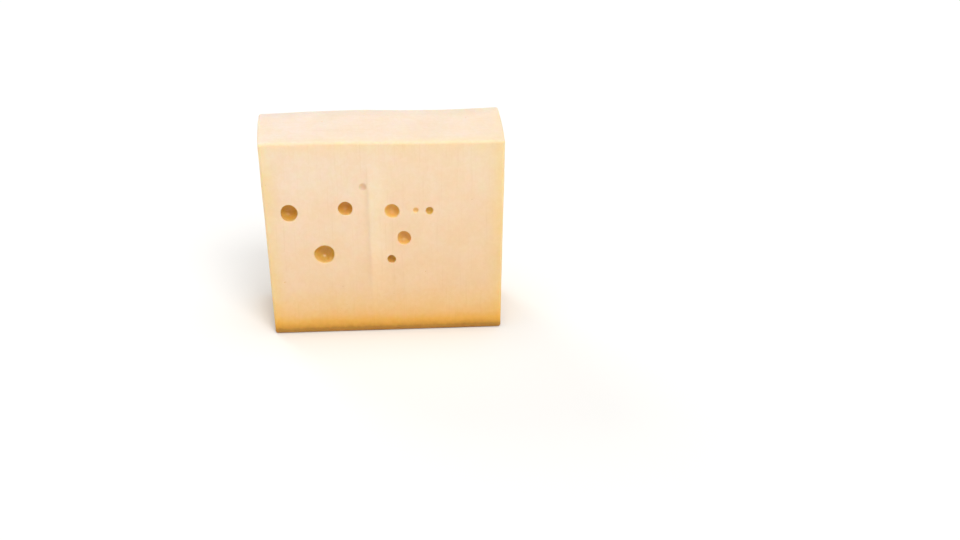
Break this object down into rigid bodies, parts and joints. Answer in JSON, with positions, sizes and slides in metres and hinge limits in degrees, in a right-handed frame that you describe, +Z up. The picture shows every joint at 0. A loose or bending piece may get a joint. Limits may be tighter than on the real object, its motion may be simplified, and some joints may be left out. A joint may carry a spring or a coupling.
{
  "type": "cheese block",
  "caption": "Rectangular block of pale semi-hard cheese with round eyes in its cut faces and soft edges, standing on a long narrow side.",
  "frame": {"origin": "middle of the bottom of the bounding box, on the surface that the block stands on", "axes": "+Z up, +X along the block's length, -Y out of the wide face that the picture shows"},
  "size_m": [0.164, 0.0632, 0.1393],
  "materials": {
    "cheese": "pale ivory-yellow paste with a soft satin surface, fine knife marks and tan, slightly shiny eye walls"
  },
  "bodies": {
    "root": {"cheese_block": "cheese"}
  },
  "joints": []
}
